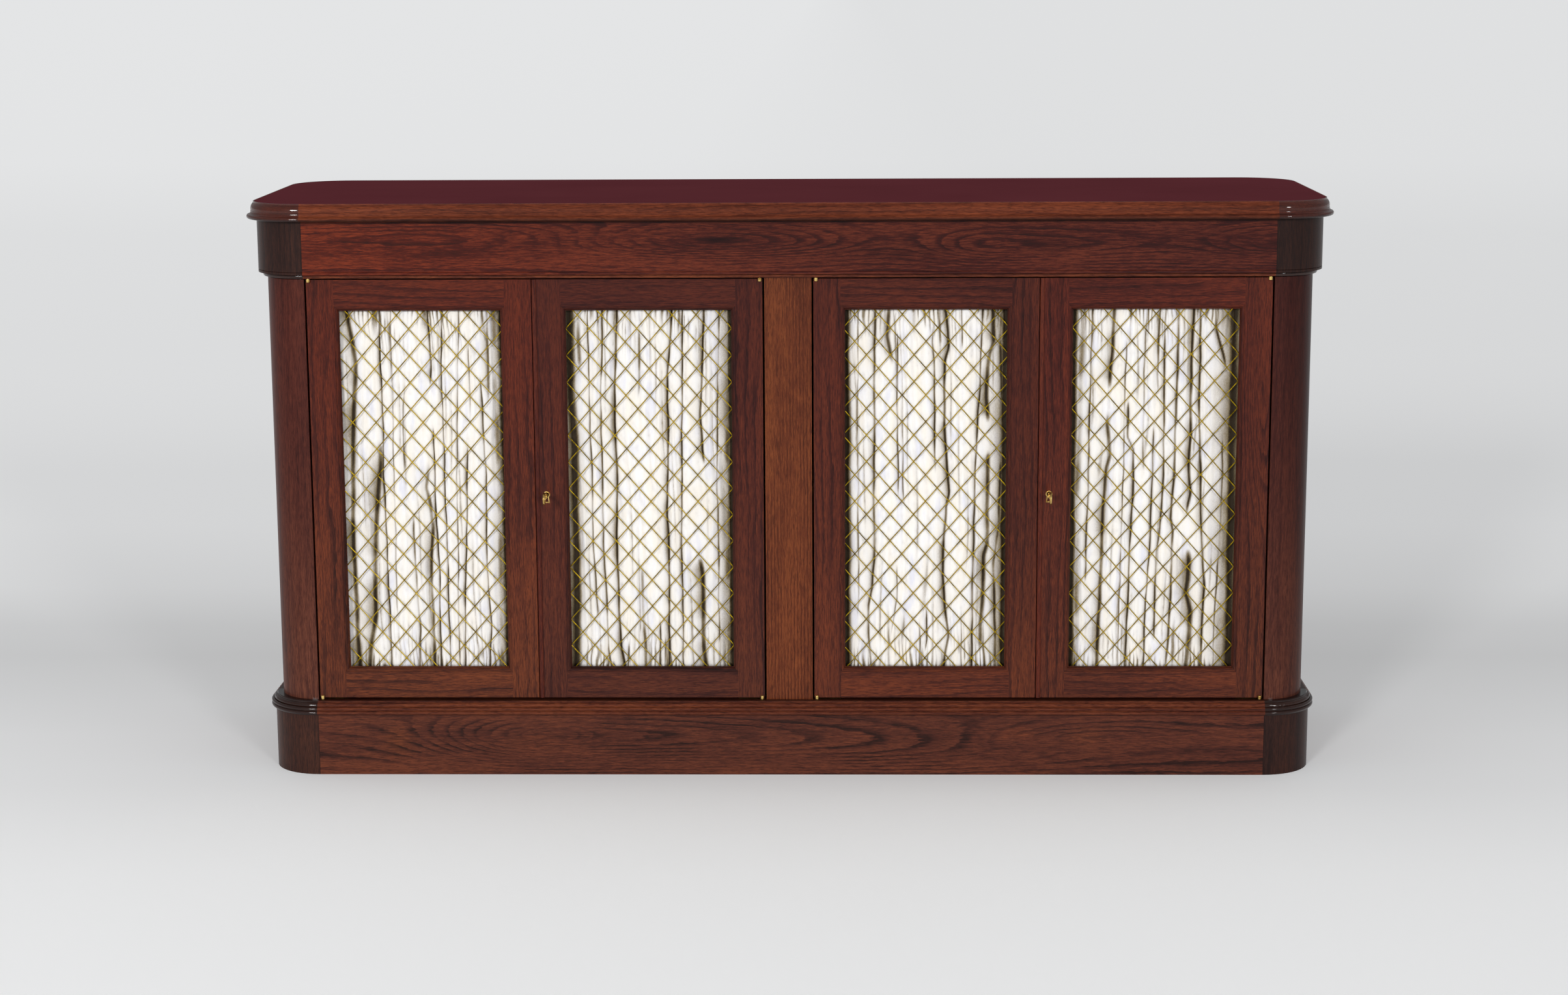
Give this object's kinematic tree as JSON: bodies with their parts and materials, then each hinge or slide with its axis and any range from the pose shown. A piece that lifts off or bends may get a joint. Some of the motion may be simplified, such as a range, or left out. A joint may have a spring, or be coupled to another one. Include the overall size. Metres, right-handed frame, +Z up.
{
  "type": "console cabinet",
  "caption": "Long low console cabinet with round corner columns, reeded mouldings and pairs of grille doors over gathered silk.",
  "frame": {"origin": "on the floor under the middle of the cabinet's body, where the plinth's bearer rests", "axes": "+X to the right along the front, +Y to the back, +Z up; the doors face -Y"},
  "size_m": [1.6984, 0.5277, 0.9104],
  "materials": {
    "polished_mahogany": "french polish",
    "burgundy_top": "satin lacquer",
    "dark_corner_wood": "french polish",
    "carcass_wood": "oiled",
    "brass": "polished",
    "silk": "gathered silk"
  },
  "bodies": {
    "cabinet": {"top_board": "burgundy_top", "top_edge_straights": "polished_mahogany", "top_edge_corners": "polished_mahogany", "frieze_boards": "polished_mahogany", "frieze_corner_blocks": "dark_corner_wood", "bed_moulding": "polished_mahogany", "corner_columns": "polished_mahogany", "side_panels": "polished_mahogany", "back_panels": "carcass_wood", "back_stile": "carcass_wood", "centre_stile": "polished_mahogany", "centre_partition": "carcass_wood", "sub_top": "carcass_wood", "floor_board": "carcass_wood", "shelves": "carcass_wood", "shelf_pins": "brass", "plinth_boards": "polished_mahogany", "plinth_bearer": "carcass_wood", "plinth_corner_blocks": "dark_corner_wood", "plinth_moulding": "polished_mahogany", "hinge_plates": "brass", "door_stops": "carcass_wood"},
    "door_1": {"door_1_stiles": "polished_mahogany", "door_1_rails": "polished_mahogany", "door_1_grille": "brass", "door_1_silk": "silk", "door_1_silk_rods": "brass", "door_1_hinge_leaves": "brass", "door_1_keeper_and_bolt_plate": "brass"},
    "slip_bolt_1": {"door_1_slip_bolt": "brass"},
    "door_2": {"door_2_stiles": "polished_mahogany", "door_2_rails": "polished_mahogany", "door_2_grille": "brass", "door_2_silk": "silk", "door_2_silk_rods": "brass", "door_2_hinge_leaves": "brass", "door_2_meeting_bead": "polished_mahogany", "door_2_escutcheon": "brass", "door_2_lock_case": "brass"},
    "lock_bolt_2": {"door_2_lock_bolt": "brass"},
    "key_2": {"door_2_key": "brass"},
    "door_3": {"door_3_stiles": "polished_mahogany", "door_3_rails": "polished_mahogany", "door_3_grille": "brass", "door_3_silk": "silk", "door_3_silk_rods": "brass", "door_3_hinge_leaves": "brass", "door_3_keeper_and_bolt_plate": "brass"},
    "slip_bolt_3": {"door_3_slip_bolt": "brass"},
    "door_4": {"door_4_stiles": "polished_mahogany", "door_4_rails": "polished_mahogany", "door_4_grille": "brass", "door_4_silk": "silk", "door_4_silk_rods": "brass", "door_4_hinge_leaves": "brass", "door_4_meeting_bead": "polished_mahogany", "door_4_escutcheon": "brass", "door_4_lock_case": "brass"},
    "lock_bolt_4": {"door_4_lock_bolt": "brass"},
    "key_4": {"door_4_key": "brass"}
  },
  "joints": [
    {"name": "door_1_hinge", "type": "hinge", "parent": "cabinet", "child": "door_1", "pos_m": [-0.7445, -0.2265, 0.4575], "axis": [0, 0, 1], "range_deg": [-170, 0]},
    {"name": "door_2_hinge", "type": "hinge", "parent": "cabinet", "child": "door_2", "pos_m": [-0.0435, -0.2265, 0.4575], "axis": [0, 0, 1], "range_deg": [0, 90]},
    {"name": "door_3_hinge", "type": "hinge", "parent": "cabinet", "child": "door_3", "pos_m": [0.0435, -0.2265, 0.4575], "axis": [0, 0, 1], "range_deg": [-90, 0]},
    {"name": "door_4_hinge", "type": "hinge", "parent": "cabinet", "child": "door_4", "pos_m": [0.7445, -0.2265, 0.4575], "axis": [0, 0, 1], "range_deg": [0, 170]},
    {"name": "key_2_turn", "type": "hinge", "parent": "door_2", "child": "key_2", "pos_m": [-0.3805, -0.225, 0.4522], "axis": [0, -1, 0], "range_deg": [0, 180]},
    {"name": "lock_bolt_2_slide", "type": "slide", "parent": "door_2", "child": "lock_bolt_2", "axis": [-1, 0, 0], "range_m": [0, 0.008]},
    {"name": "key_4_turn", "type": "hinge", "parent": "door_4", "child": "key_4", "pos_m": [0.4075, -0.225, 0.4522], "axis": [0, -1, 0], "range_deg": [0, 180]},
    {"name": "lock_bolt_4_slide", "type": "slide", "parent": "door_4", "child": "lock_bolt_4", "axis": [-1, 0, 0], "range_m": [0, 0.008]},
    {"name": "slip_bolt_1_slide", "type": "slide", "parent": "door_1", "child": "slip_bolt_1", "axis": [0, 0, 1], "range_m": [0, 0.012]},
    {"name": "slip_bolt_3_slide", "type": "slide", "parent": "door_3", "child": "slip_bolt_3", "axis": [0, 0, 1], "range_m": [0, 0.012]}
  ],
  "couplings": [
    {"joint": "key_2_turn", "follows": "lock_bolt_2_slide", "rad_per_m": 392.7},
    {"joint": "key_4_turn", "follows": "lock_bolt_4_slide", "rad_per_m": 392.7}
  ]
}
